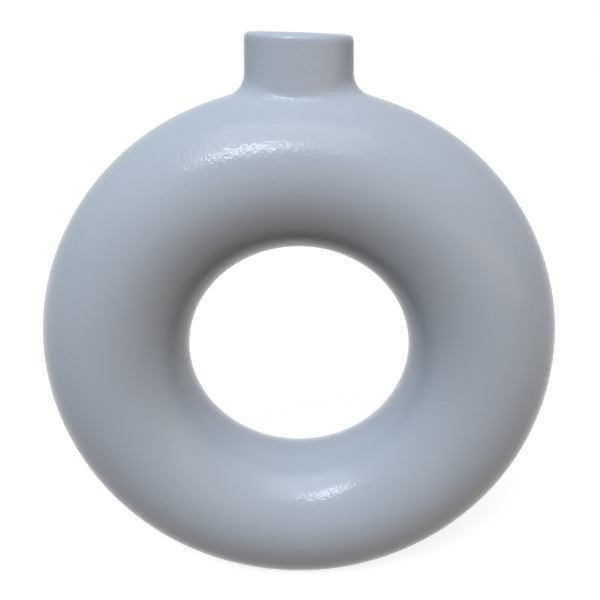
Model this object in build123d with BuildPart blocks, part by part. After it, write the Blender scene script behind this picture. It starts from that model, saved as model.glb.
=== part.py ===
from build123d import *
import os
from math import radians, sqrt, tan
from OCP.BRepFilletAPI import BRepFilletAPI_MakeFillet

# Ring-shaped ceramic flower vase, in millimetres.
# The ring stands on edge: its axis runs along Y, its front faces -Y and its neck points up along +Z.
# The origin is the middle of the flat foot, on the surface that the vase stands on.
# The clay pieces are the ones that a potter lutes together before the firing:
# two pressed half rings, a coil in each of their two seams, an oval collar and the coil round its base.

# Driving dimensions of the ring
ring_diameter = 200.0
tube_diameter = 56.0
tube_wall = 5.5
foot_flat_depth = 2.8
foot_floor = 5.0

# Driving dimensions of the two seams between the half rings
seam_groove_depth = 3.8
seam_groove_width = 9.0

# Driving dimensions of the neck, which is oval: wide along the ring and narrow across its tube
neck_rise = 16.9
neck_rim_width = 36.9
neck_rim_depth = 26.4
neck_draft_angle = 1.6
neck_wall = 4.4
lip_radius = 1.7
rim_tilt_angle = 1.9

# Driving dimensions of the luted joint under the neck, which is tight in front and behind and fuller at the sides
neck_front_fillet_radius = 4.2
neck_side_fillet_radius = 8.0
luting_seat_depth = 0.8
luting_edge_width = 0.9

# Places and sizes that follow from them
ring_radius = ring_diameter / 2
tube_radius = tube_diameter / 2
cavity_radius = tube_radius - tube_wall
centreline_radius = ring_radius - tube_radius
ring_height = ring_radius - foot_flat_depth
ring_axis = Axis((0, 0, ring_height), (0, 1, 0))
ring_section_plane = Plane.XY.offset(ring_height)

ring_top_height = ring_height + ring_radius
rim_height = ring_top_height + neck_rise
rim_plane = Plane.XY.offset(rim_height).rotated((0, rim_tilt_angle, 0))
rim_overlength = neck_rim_width / 2 * tan(radians(rim_tilt_angle)) + lip_radius
collar_root_height = ring_height + centreline_radius
collar_top_height = rim_height + rim_overlength


def neck_half_axes(height, outset=0):
    """Half the width and half the depth of the neck, which widens a little downwards, or of an oval set off from it."""
    growth = (rim_height - height) * tan(radians(neck_draft_angle)) + outset
    return neck_rim_width / 2 + growth, neck_rim_depth / 2 + growth


# A ball that rolls round the neck's foot, and swells towards the sides, draws the hollow curve of the joint.
# Its path gives how far the joint reaches along the ring, across the tube and up the neck.
fillet_path_along = neck_half_axes(ring_top_height, neck_side_fillet_radius)[0]
fillet_path_across = neck_half_axes(ring_top_height, neck_front_fillet_radius)[1]
fillet_reach_along = fillet_path_along * ring_radius / (ring_radius + neck_side_fillet_radius)
fillet_reach_across = fillet_path_across * tube_radius / (tube_radius + neck_front_fillet_radius)
fillet_top_height = ring_height + sqrt((ring_radius + neck_side_fillet_radius) ** 2 - fillet_path_along**2)

luting_seat_half_axes = fillet_reach_along + luting_edge_width, fillet_reach_across + luting_edge_width
ledge_height = fillet_top_height + luting_edge_width
socket_half_axes = neck_half_axes(ledge_height, -luting_seat_depth)
mouth_half_axes = neck_half_axes(rim_height, -neck_wall)


# Shared forms that the pieces are cut from

# The hollow that holds the water, flattened over the foot so that the floor keeps its thickness
with BuildPart() as cavity:
    with BuildSketch(ring_section_plane):
        with Locations(Location((centreline_radius, 0), 180)):
            Circle(cavity_radius)
    revolve(axis=ring_axis)
    split(bisect_by=Plane.XY.offset(foot_floor), keep=Keep.TOP)

# The ring without the thin skin that the luting coil sinks into
with BuildPart() as luting_seat_floor:
    with BuildSketch(ring_section_plane):
        with Locations(Location((centreline_radius, 0), 180)):
            Circle(tube_radius - luting_seat_depth)
    revolve(axis=ring_axis)

# The neck's outside, drawn through the ring to its root and past the rim
with BuildPart() as neck_outside:
    for height in (collar_root_height, collar_top_height):
        with BuildSketch(Plane.XY.offset(height)):
            Ellipse(*neck_half_axes(height))
    loft(ruled=True)


def oval_column(half_axes):
    """Oval column from the collar's root to the ledge, with no seam where the half rings part."""
    with BuildPart() as column:
        with BuildSketch(Plane.XY.offset(collar_root_height)):
            with BuildLine():
                EllipticalCenterArc((0, 0), *half_axes, start_angle=-90, arc_size=180)
                EllipticalCenterArc((0, 0), *half_axes, start_angle=90, arc_size=180)
            make_face()
        extrude(amount=ledge_height - collar_root_height)
    return column.part


# What the half rings and their seam coils leave free for the collar and its luting coil
with BuildPart() as neck_seat:
    add(oval_column(luting_seat_half_axes))
    add(luting_seat_floor.part, mode=Mode.SUBTRACT)
    add(oval_column(socket_half_axes))


# Pieces round the neck

# Coil of clay pressed round the foot of the collar and smoothed to a hollow curve.
# It lies in a shallow seat, so its edges keep a thickness on the ring and on the collar.
# One quarter of the ring's outside and the neck is filleted and trimmed, then mirrored twice.
with BuildPart() as neck_luting_coil:
    with BuildSketch(ring_section_plane):
        with Locations((centreline_radius, 0)):
            Circle(tube_radius)
            Rectangle(tube_diameter, tube_radius, align=(Align.CENTER, Align.MAX), mode=Mode.SUBTRACT)
    revolve(axis=ring_axis.reverse(), revolution_arc=90)
    add(split(neck_outside.part, bisect_by=Plane.XZ, keep=Keep.BOTTOM, mode=Mode.PRIVATE))
    split(bisect_by=Plane.YZ, keep=Keep.TOP)
    joint_edge = neck_luting_coil.edges().filter_by(GeomType.BSPLINE).sort_by(Axis.Z)[0]
    joint_radii = [neck_front_fillet_radius, neck_side_fillet_radius]
    if joint_edge.start_point().X > joint_edge.end_point().X:
        joint_radii.reverse()
    rounding = BRepFilletAPI_MakeFillet(neck_luting_coil.part.solids()[0].wrapped)
    rounding.Add(*joint_radii, joint_edge.wrapped)
    add(Compound(rounding.Shape()).solids()[0], mode=Mode.REPLACE)
    add(oval_column(luting_seat_half_axes), mode=Mode.INTERSECT)
    add(oval_column(socket_half_axes), mode=Mode.SUBTRACT)
    add(luting_seat_floor.part, mode=Mode.SUBTRACT)
    mirror(about=Plane.XZ)
    mirror(about=Plane.YZ)
neck_luting_coil.part.label = "neck_luting_coil"

# Thrown collar, pressed oval, set through the wall of the ring and trimmed flush with the hollow inside.
# Its lip is rounded, and its rim was cut by hand, a little lower on the right.
with BuildPart() as neck_collar:
    add(neck_outside.part)
    split(bisect_by=Plane.XY.offset(ledge_height), keep=Keep.TOP)
    with BuildSketch(Plane.XY.offset(collar_root_height)):
        Ellipse(*socket_half_axes)
    extrude(amount=ledge_height - collar_root_height)
    with BuildSketch(Plane.XY.offset(collar_root_height)):
        Ellipse(*mouth_half_axes)
    extrude(amount=collar_top_height - collar_root_height, mode=Mode.SUBTRACT)
    split(bisect_by=rim_plane, keep=Keep.BOTTOM)
    rim_face = neck_collar.faces().sort_by(Axis.Z)[-1]
    fillet(rim_face.edges(), radius=lip_radius)
    add(cavity.part, mode=Mode.SUBTRACT)
neck_collar.part.label = "neck_collar"


# Seam coils

# Each coil fills the groove that the bevelled edges of the half rings leave, flush with the ring
groove_half_width = seam_groove_width / 2
groove_root = tube_radius - seam_groove_depth
groove_edge = sqrt(tube_radius**2 - groove_half_width**2)


def seam_section(side):
    """Section of a seam coil on the outside of the ring (side 1) or in its hole (side -1)."""
    root = (centreline_radius + side * groove_root, 0)
    front_edge = (centreline_radius + side * groove_edge, -groove_half_width)
    rear_edge = (centreline_radius + side * groove_edge, groove_half_width)
    crown = (centreline_radius + side * tube_radius, 0)
    with BuildSketch(ring_section_plane) as section:
        with BuildLine():
            Line(root, front_edge)
            ThreePointArc(front_edge, crown, rear_edge)
            Line(rear_edge, root)
        make_face()
    return section.sketch


with BuildPart() as outer_seam_coil:
    add(seam_section(1))
    revolve(axis=ring_axis)
    split(bisect_by=Plane.XY, keep=Keep.TOP)
    add(neck_seat.part, mode=Mode.SUBTRACT)
outer_seam_coil.part.label = "outer_seam_coil"

with BuildPart() as inner_seam_coil:
    add(seam_section(-1))
    revolve(axis=ring_axis)
inner_seam_coil.part.label = "inner_seam_coil"


# Half rings

# Each is pressed in a half mould, flattened where it stands and bevelled along both seams
with BuildPart() as front_half_ring:
    with BuildSketch(ring_section_plane):
        with Locations((centreline_radius, 0)):
            Circle(tube_radius)
            Rectangle(tube_diameter, tube_radius, align=(Align.CENTER, Align.MIN), mode=Mode.SUBTRACT)
    revolve(axis=ring_axis)
    split(bisect_by=Plane.XY, keep=Keep.TOP)
    add(cavity.part, mode=Mode.SUBTRACT)
    for side in (1, -1):
        add(seam_section(side))
    revolve(axis=ring_axis, mode=Mode.SUBTRACT)
    add(neck_seat.part, mode=Mode.SUBTRACT)
front_half_ring.part.label = "front_half_ring"

with BuildPart() as rear_half_ring:
    mirror(front_half_ring.part, about=Plane.XZ)
rear_half_ring.part.label = "rear_half_ring"


os.makedirs("parts", exist_ok=True)
for piece in (
    front_half_ring,
    rear_half_ring,
    outer_seam_coil,
    inner_seam_coil,
    neck_collar,
    neck_luting_coil,
):
    export_step(piece.part, f"parts/{piece.part.label}.step")
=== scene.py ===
from math import atan2, cos, exp, hypot, pi, radians, sin, sqrt, tan

import bmesh
import bpy
from mathutils import Matrix, Vector, noise


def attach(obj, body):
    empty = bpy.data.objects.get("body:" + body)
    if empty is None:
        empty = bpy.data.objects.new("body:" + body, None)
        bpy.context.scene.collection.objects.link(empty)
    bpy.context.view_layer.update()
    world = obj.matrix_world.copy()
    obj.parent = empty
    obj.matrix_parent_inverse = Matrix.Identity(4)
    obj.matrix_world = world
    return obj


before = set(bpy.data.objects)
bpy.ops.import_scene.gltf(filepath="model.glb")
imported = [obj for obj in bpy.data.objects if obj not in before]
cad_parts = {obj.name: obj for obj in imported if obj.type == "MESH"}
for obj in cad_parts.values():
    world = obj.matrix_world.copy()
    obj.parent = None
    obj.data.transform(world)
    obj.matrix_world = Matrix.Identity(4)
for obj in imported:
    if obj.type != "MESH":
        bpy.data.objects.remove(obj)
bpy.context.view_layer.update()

MM = 0.001

# Sizes of the vase, as in the part's source
RING_RADIUS = 100 * MM
TUBE_RADIUS = 28 * MM
CENTRELINE_RADIUS = RING_RADIUS - TUBE_RADIUS
RING_HEIGHT = 97.2 * MM
NECK_RIM_WIDTH = 36.9 * MM
NECK_RIM_DEPTH = 26.4 * MM
NECK_WALL = 4.4 * MM
NECK_SLOPE = tan(radians(1.6))
RIM_HEIGHT = RING_HEIGHT + 116.9 * MM
RIM_SLOPE = tan(radians(1.9))
LIP_RADIUS = 1.7 * MM
JOINT_FRONT_RADIUS = 4.2 * MM
JOINT_SIDE_RADIUS = 8 * MM
JOINT_SWELL = 1.2

# Sizes of the glaze on it
GLAZE_THICKNESS = 0.12 * MM
GLAZE_UNEVENNESS = 0.2 * MM
UNEVENNESS_SPAN = 45 * MM
FOOT_GLAZE_LINE = 1.3 * MM
FOOT_GLAZE_WAVE = 0.8 * MM
FOOT_WAVE_SPAN = 12 * MM
MOUTH_GLAZE_DEPTH = 20 * MM

# Small dent that a thumb left under the rim
DENT_PLACE = Vector((0.5 * MM, -NECK_RIM_DEPTH / 2, RIM_HEIGHT - 4 * MM))
DENT_WIDTH = 2.5 * MM
DENT_DEPTH = 0.2 * MM

# How finely the glaze coat is divided
TUBE_SEGMENTS = 60
RING_STEPS = 144
JOINT_STEPS = 8
NECK_STEPS = 9
LIP_STEPS = 6
SHOULDER_SHARES = (0.3, 0.45, 1.0)
MOUTH_SHARES = (0.3, 0.6, 1.0)
SEAM_REACH = 0.01 * MM

# Window in the ring's top that the joint and the neck grow from
WINDOW_ALONG_RING = radians(17.5)
WINDOW_ACROSS_TUBE = radians(66)


# Glaze coat


def on_oval(turn, height, outset=0):
    """Point of the neck's oval at a height, moved straight out; the neck widens a little downwards."""
    growth = (RIM_HEIGHT - height) * NECK_SLOPE
    width, depth = NECK_RIM_WIDTH / 2 + growth, NECK_RIM_DEPTH / 2 + growth
    out = Vector((cos(turn) / width, sin(turn) / depth, 0)).normalized()
    return Vector((width * cos(turn), depth * sin(turn), height)) + out * outset


def tube_middle(point):
    """Nearest point on the circle that runs through the middle of the tube."""
    out = Vector((point.x, 0, point.z - RING_HEIGHT))
    return Vector((0, 0, RING_HEIGHT)) + out.normalized() * CENTRELINE_RADIUS


def on_ring(point):
    """The point moved straight out or in to the surface of the ring."""
    middle = tube_middle(point)
    return middle + (point - middle).normalized() * TUBE_RADIUS


def on_joint(turn, share):
    """Point of the joint's hollow curve, from the ring at share 0 to the neck at share 1.

    A ball that rolls round the foot of the neck and touches both draws that curve. It is small
    in front and behind and swells towards the sides.
    """
    sideways = abs(cos(turn)) ** JOINT_SWELL
    radius = JOINT_FRONT_RADIUS + (JOINT_SIDE_RADIUS - JOINT_FRONT_RADIUS) * sideways
    ball = Vector((0, 0, RING_HEIGHT + RING_RADIUS))
    for _ in range(3):
        foot = on_oval(turn, ball.z)
        ball = on_oval(turn, ball.z, radius)
        tube = CENTRELINE_RADIUS + sqrt((TUBE_RADIUS + radius) ** 2 - ball.y**2)
        foot.z = ball.z = RING_HEIGHT + sqrt(tube**2 - ball.x**2)
    to_ring = (tube_middle(ball) - ball).normalized()
    to_neck = (foot - ball).normalized()
    return ball + to_ring.slerp(to_neck, share) * radius


def on_neck(turn, foot, share):
    """Point of the neck's wall, from its foot at share 0 to the start of the lip at share 1."""
    top = RIM_HEIGHT - LIP_RADIUS - foot.x * RIM_SLOPE
    return on_oval(turn, foot.z + (top - foot.z) * share)


def on_mouth(turn, inset, drop):
    """Point of the lip or the mouth, whose rim the maker cut a little lower on the right."""
    point = on_oval(turn, RIM_HEIGHT, -inset)
    return point - Vector((0, 0, drop + point.x * RIM_SLOPE))


def grow(mesh, rim, place):
    """Extrudes an open rim, puts each new vertex where place says and returns the new rim."""
    grown = bmesh.ops.extrude_edge_only(mesh, edges=rim)["geom"]
    verts = {g for g in grown if isinstance(g, bmesh.types.BMVert)}
    for v in verts:
        v.co = place(v)
    return [g for g in grown if isinstance(g, bmesh.types.BMEdge) and verts.issuperset(g.verts)]


def make_glaze_coat():
    """One skin of glaze over ring, joint and neck, over the lip and down into the mouth."""
    mesh = bmesh.new()
    turn = mesh.verts.layers.float.new("turn_about_neck")

    # The ring is one circle of the tube, turned about the ring's axis
    bmesh.ops.create_circle(
        mesh,
        radius=TUBE_RADIUS,
        segments=TUBE_SEGMENTS,
        matrix=Matrix.Translation((CENTRELINE_RADIUS, 0, RING_HEIGHT)),
    )
    bmesh.ops.spin(
        mesh,
        geom=mesh.verts[:] + mesh.edges[:],
        cent=(0, 0, RING_HEIGHT),
        axis=(0, 1, 0),
        angle=2 * pi,
        steps=RING_STEPS,
        use_merge=True,
    )
    bmesh.ops.remove_doubles(mesh, verts=mesh.verts, dist=SEAM_REACH)

    # A window is cut in its top
    window = []
    for face in mesh.faces:
        at = face.calc_center_median()
        along = atan2(at.x, at.z - RING_HEIGHT)
        across = atan2(at.y, hypot(at.x, at.z - RING_HEIGHT) - CENTRELINE_RADIUS)
        if abs(along) < WINDOW_ALONG_RING and abs(across) < WINDOW_ACROSS_TUBE:
            window.append(face)
    bmesh.ops.delete(mesh, geom=window, context="FACES")
    rim = [e for e in mesh.edges if e.is_boundary]
    for v in {v for e in rim for v in e.verts}:
        v[turn] = atan2(v.co.y / NECK_RIM_DEPTH, v.co.x / NECK_RIM_WIDTH)

    # From its rim grow the shoulder, the joint, the neck, the two bends of the lip and the mouth
    for share in SHOULDER_SHARES:
        rim = grow(mesh, rim, lambda v: on_ring(v.co.lerp(on_joint(v[turn], 0), share)))
    for step in range(1, JOINT_STEPS + 1):
        rim = grow(mesh, rim, lambda v: on_joint(v[turn], step / JOINT_STEPS))
    for step in range(1, NECK_STEPS + 1):
        rim = grow(mesh, rim, lambda v: on_neck(v[turn], on_joint(v[turn], 1), step / NECK_STEPS))
    outer_bend = (LIP_RADIUS, 1, LIP_STEPS)
    inner_bend = (NECK_WALL - LIP_RADIUS, LIP_STEPS, 2 * LIP_STEPS)
    for middle, first, last in (outer_bend, inner_bend):
        for step in range(first, last + 1):
            bend = radians(90 * step / LIP_STEPS)
            inset = middle - LIP_RADIUS * cos(bend)
            drop = LIP_RADIUS - LIP_RADIUS * sin(bend)
            rim = grow(mesh, rim, lambda v: on_mouth(v[turn], inset, drop))
    for share in MOUTH_SHARES:
        rim = grow(mesh, rim, lambda v: on_mouth(v[turn], NECK_WALL, MOUTH_GLAZE_DEPTH * share))
    mesh.verts.layers.float.remove(turn)

    # The foot is wiped clean of glaze before the firing, which leaves a wavy line
    cut = bmesh.ops.bisect_plane(
        mesh,
        geom=mesh.verts[:] + mesh.edges[:] + mesh.faces[:],
        plane_co=(0, 0, FOOT_GLAZE_LINE),
        plane_no=(0, 0, 1),
        clear_inner=True,
    )["geom_cut"]
    for v in cut:
        if isinstance(v, bmesh.types.BMVert):
            outward = Vector((v.co.x, v.co.y, 0)).normalized()
            wave = FOOT_GLAZE_WAVE * noise.noise(v.co / FOOT_WAVE_SPAN)
            v.co = on_ring(v.co + outward * wave)

    bmesh.ops.recalc_face_normals(mesh, faces=mesh.faces)

    # Hands and slow glaze leave the surface a little uneven
    mesh.normal_update()
    for v, out in [(v, v.normal.copy()) for v in mesh.verts]:
        swell = 0.5 + 0.5 * noise.noise(v.co / UNEVENNESS_SPAN)
        dent = exp(-(((v.co - DENT_PLACE).length / DENT_WIDTH) ** 2))
        v.co += out * (GLAZE_UNEVENNESS * swell - DENT_DEPTH * dent)
    for face in mesh.faces:
        face.smooth = True

    data = bpy.data.meshes.new("glaze_coat")
    mesh.to_mesh(data)
    mesh.free()
    coat = bpy.data.objects.new("glaze_coat", data)
    bpy.context.scene.collection.objects.link(coat)
    skin = coat.modifiers.new("glaze_thickness", "SOLIDIFY")
    skin.thickness = GLAZE_THICKNESS
    skin.offset = 1
    return coat


# Materials


def colour(code):
    """Linear colour of an sRGB hex value."""
    channels = [int(code[i : i + 2], 16) / 255 for i in (1, 3, 5)]
    return [c / 12.92 if c <= 0.04045 else ((c + 0.055) / 1.055) ** 2.4 for c in channels] + [1]


def add(tree, kind, inputs=None, **settings):
    """Adds a node with its settings, and links or sets its inputs."""
    node = tree.nodes.new(kind)
    for name, value in settings.items():
        setattr(node, name, value)
    for name, value in (inputs or {}).items():
        if isinstance(value, bpy.types.NodeSocket):
            tree.links.new(value, node.inputs[name])
        else:
            node.inputs[name].default_value = value
    return node


def new_material(name):
    """A new material, its nodes and its shader."""
    material = bpy.data.materials.new(name)
    material.use_nodes = True
    return material, material.node_tree, material.node_tree.nodes["Principled BSDF"]


def make_satin_glaze():
    """Stoneware with a poured satin glaze, fired.

    It gives the eye a cool, pale, nearly even white with soft drifts of tone, a few iron specks
    that came up from the clay, and a gloss that breaks into small lumps like the skin of an orange.
    """
    drift_width = 30 * MM
    speck_spacing = 17 * MM
    speck_core, speck_edge = 0.2 * MM, 0.5 * MM
    sponge_spacing, sponge_depth = 2 * MM, 0.006 * MM
    lump_width, lump_depth = 1.2 * MM, 0.11 * MM
    patch_width = 15 * MM

    material, tree, shader = new_material("satin_glazed_stoneware")
    place = add(tree, "ShaderNodeTexCoord").outputs["Object"]

    # Drifts of thinner and thicker glaze
    drifts = add(
        tree, "ShaderNodeTexNoise", {"Vector": place, "Scale": 1 / drift_width, "Detail": 3}
    )
    tone = add(
        tree,
        "ShaderNodeMix",
        {0: drifts.outputs["Fac"], 6: colour("#B8C4CF"), 7: colour("#BFCAD3")},
        data_type="RGBA",
    )

    # Iron specks up to 1 mm wide, mostly some centimetres apart
    cells = add(tree, "ShaderNodeTexVoronoi", {"Vector": place, "Scale": 1 / speck_spacing})
    specks = add(
        tree,
        "ShaderNodeMapRange",
        {
            "Value": cells.outputs["Distance"],
            "From Min": speck_core / speck_spacing,
            "From Max": speck_edge / speck_spacing,
            "To Min": 0.55,
            "To Max": 0,
        },
    )
    specked = add(
        tree,
        "ShaderNodeMix",
        {0: specks.outputs["Result"], 6: tone.outputs[2], 7: colour("#6E6A66")},
        data_type="RGBA",
    )
    tree.links.new(specked.outputs[2], shader.inputs["Base Color"])

    # Lines of the wet sponge that ran round the ring
    centred = add(
        tree,
        "ShaderNodeMapping",
        {"Vector": place, "Location": (0, 0, -RING_HEIGHT), "Scale": (1, 0, 1)},
    )
    from_axis = add(
        tree, "ShaderNodeVectorMath", {0: centred.outputs["Vector"]}, operation="LENGTH"
    )
    sponge = add(
        tree,
        "ShaderNodeTexNoise",
        {"W": from_axis.outputs["Value"], "Scale": 1 / sponge_spacing, "Detail": 1},
        noise_dimensions="1D",
    )
    sponged = add(
        tree, "ShaderNodeBump", {"Height": sponge.outputs["Fac"], "Distance": sponge_depth}
    )

    # Lumps of the glaze skin, which break up the gloss
    lumps = add(tree, "ShaderNodeTexNoise", {"Vector": place, "Scale": 1 / lump_width, "Detail": 1})
    lumped = add(
        tree,
        "ShaderNodeBump",
        {
            "Height": lumps.outputs["Fac"],
            "Distance": lump_depth,
            "Normal": sponged.outputs["Normal"],
        },
    )
    tree.links.new(lumped.outputs["Normal"], shader.inputs["Normal"])

    # Patches of duller and glossier skin
    patches = add(
        tree, "ShaderNodeTexNoise", {"Vector": place, "Scale": 1 / patch_width, "Detail": 2}
    )
    gloss = add(
        tree,
        "ShaderNodeMapRange",
        {"Value": patches.outputs["Fac"], "To Min": 0.14, "To Max": 0.22},
    )
    tree.links.new(gloss.outputs["Result"], shader.inputs["Roughness"])
    shader.inputs["IOR"].default_value = 1.5
    shader.inputs["Specular IOR Level"].default_value = 0.3
    return material


def make_bare_stoneware():
    """Stoneware, pressed and fired: glazed inside, and wiped bare at the foot.

    Bare, it gives the eye a matt buff with fine dark and pale grains. Inside it has the glaze's
    colour.
    """
    bare_up_to, glazed_from = 2.6 * MM, 2.9 * MM
    grit_width, grit_depth = 0.7 * MM, 0.05 * MM

    material, tree, shader = new_material("stoneware_with_bare_foot")
    place = add(tree, "ShaderNodeTexCoord").outputs["Object"]
    height = add(tree, "ShaderNodeSeparateXYZ", {"Vector": place})
    glazed = add(
        tree,
        "ShaderNodeMapRange",
        {"Value": height.outputs["Z"], "From Min": bare_up_to, "From Max": glazed_from},
    )

    # Grit of the clay
    grit = add(tree, "ShaderNodeTexNoise", {"Vector": place, "Scale": 1 / grit_width, "Detail": 3})
    clay = add(
        tree,
        "ShaderNodeMix",
        {0: grit.outputs["Fac"], 6: colour("#9C8A72"), 7: colour("#CDBDA4")},
        data_type="RGBA",
    )
    body = add(
        tree,
        "ShaderNodeMix",
        {0: glazed.outputs["Result"], 6: clay.outputs[2], 7: colour("#BBC7D1")},
        data_type="RGBA",
    )
    tree.links.new(body.outputs[2], shader.inputs["Base Color"])
    gloss = add(
        tree,
        "ShaderNodeMapRange",
        {"Value": glazed.outputs["Result"], "To Min": 0.85, "To Max": 0.25},
    )
    tree.links.new(gloss.outputs["Result"], shader.inputs["Roughness"])
    rough = add(tree, "ShaderNodeBump", {"Height": grit.outputs["Fac"], "Distance": grit_depth})
    tree.links.new(rough.outputs["Normal"], shader.inputs["Normal"])
    return material


def seen_directly(tree):
    """Is 1 for what the camera sees, also in a gloss or through glass, and 0 for light on its way."""
    path = add(tree, "ShaderNodeLightPath")
    mirrored = add(
        tree,
        "ShaderNodeMath",
        {0: path.outputs["Is Camera Ray"], 1: path.outputs["Is Glossy Ray"]},
        operation="MAXIMUM",
    )
    either = add(
        tree,
        "ShaderNodeMath",
        {0: mirrored.outputs[0], 1: path.outputs["Is Transmission Ray"]},
        operation="MAXIMUM",
    )
    return either.outputs[0]


def make_studio_floor():
    """Smooth matt board.

    The camera sees it white, with a faint shadow round the vase, and it throws a little warm light
    back up.
    """
    shadow_reach, white_from = 150 * MM, 600 * MM

    material, tree, shader = new_material("matt_studio_board")
    seen = seen_directly(tree)
    board = add(
        tree,
        "ShaderNodeMix",
        {0: seen, 6: colour("#563C22"), 7: colour("#A8A8A8")},
        data_type="RGBA",
    )
    tree.links.new(board.outputs[2], shader.inputs["Base Color"])
    shader.inputs["Roughness"].default_value = 1
    shader.inputs["Specular IOR Level"].default_value = 0
    shader.inputs["Emission Color"].default_value = (1, 1, 1, 1)

    # It glows less near the vase, so that the shadow shows, and more where the lamps don't reach
    place = add(tree, "ShaderNodeTexCoord").outputs["Object"]
    from_middle = add(tree, "ShaderNodeVectorMath", {0: place}, operation="LENGTH")
    whiteness = add(
        tree,
        "ShaderNodeMapRange",
        {
            "Value": from_middle.outputs["Value"],
            "From Min": shadow_reach,
            "From Max": white_from,
            "To Min": 0.84,
            "To Max": 0.98,
        },
    )
    glow = add(
        tree, "ShaderNodeMath", {0: seen, 1: whiteness.outputs["Result"]}, operation="MULTIPLY"
    )
    tree.links.new(glow.outputs[0], shader.inputs["Emission Strength"])
    return material


# Dressing

satin_glaze = make_satin_glaze()
bare_stoneware = make_bare_stoneware()
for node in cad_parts.values():
    node.data.materials.clear()
    node.data.materials.append(bare_stoneware)

glaze_coat = make_glaze_coat()
glaze_coat.data.materials.append(satin_glaze)
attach(glaze_coat, "root")


# Studio, in metres

FLOOR_HALF_WIDTH = 6

floor_mesh = bmesh.new()
bmesh.ops.create_grid(floor_mesh, x_segments=1, y_segments=1, size=FLOOR_HALF_WIDTH)
floor_data = bpy.data.meshes.new("studio_floor")
floor_mesh.to_mesh(floor_data)
floor_mesh.free()
floor = bpy.data.objects.new("studio_floor", floor_data)
floor.data.materials.append(make_studio_floor())
bpy.context.scene.collection.objects.link(floor)

# The surround is seen white and gives only a weak light
surround = bpy.data.worlds.new("studio_surround")
surround.use_nodes = True
bpy.context.scene.world = surround
surround_tree = surround.node_tree
surround_colour = add(
    surround_tree,
    "ShaderNodeMix",
    {0: seen_directly(surround_tree), 6: colour("#48463E"), 7: (1, 1, 1, 1)},
    data_type="RGBA",
)
background = surround_tree.nodes["Background"]
background.inputs["Strength"].default_value = 1
surround_tree.links.new(surround_colour.outputs[2], background.inputs["Color"])


def add_softbox(name, azimuth, elevation, distance, width, depth, power, tint):
    """Adds a soft lamp that faces the ring, from degrees right of the front and degrees up."""
    spot = Vector((0, 0, RING_HEIGHT))
    a, e = radians(azimuth), radians(elevation)
    out = Vector((sin(a) * cos(e), -cos(a) * cos(e), sin(e)))
    lamp = bpy.data.lights.new(name, "AREA")
    lamp.shape = "RECTANGLE"
    lamp.size, lamp.size_y = width, depth
    lamp.energy = power
    lamp.color = colour(tint)[:3]
    holder = bpy.data.objects.new(name, lamp)
    holder.location = spot + out * distance
    holder.rotation_euler = (-out).to_track_quat("-Z", "Y").to_euler()
    bpy.context.scene.collection.objects.link(holder)
    return holder


# A broad softbox over the vase
add_softbox(
    "overhead_softbox",
    azimuth=-13,
    elevation=58,
    distance=1.3,
    width=1.2,
    depth=1.0,
    power=12.4,
    tint="#E7EDFA",
)

# A long low one that gives the two glossy streaks
add_softbox(
    "window_light",
    azimuth=-18,
    elevation=43.5,
    distance=3.0,
    width=1.1,
    depth=0.3,
    power=28.0,
    tint="#F0F5FF",
)

# A weak warm one at the right, as from a wall
add_softbox(
    "room_bounce",
    azimuth=40,
    elevation=5,
    distance=1.5,
    width=1.6,
    depth=0.35,
    power=2.6,
    tint="#FFD0A0",
)

# The rear lamp lights the back, without a glare along the edges that are seen from the front
rear_softbox = add_softbox(
    "rear_softbox",
    azimuth=180,
    elevation=6,
    distance=2.2,
    width=2.4,
    depth=0.6,
    power=24.0,
    tint="#F2F4FF",
)
rear_softbox.visible_glossy = False

# The camera stands close and looks down on the vase
CAMERA_SIDESTEP = 0.4 * MM
CAMERA_DISTANCE = 291.5 * MM
CAMERA_RISE = 122.4 * MM
CAMERA_TILT_DOWN = 23.78

camera_data = bpy.data.cameras.new("camera")
camera_data.lens = 47.53
camera_data.sensor_width = 36
camera_data.shift_y = 0.1083
camera_data.clip_start = 0.01
camera = bpy.data.objects.new("camera", camera_data)
camera.location = (CAMERA_SIDESTEP, -CAMERA_DISTANCE, RING_HEIGHT + CAMERA_RISE)
camera.rotation_euler = (radians(90 - CAMERA_TILT_DOWN), 0, 0)
bpy.context.scene.collection.objects.link(camera)
bpy.context.scene.camera = camera

bpy.context.scene.view_settings.view_transform = "Standard"
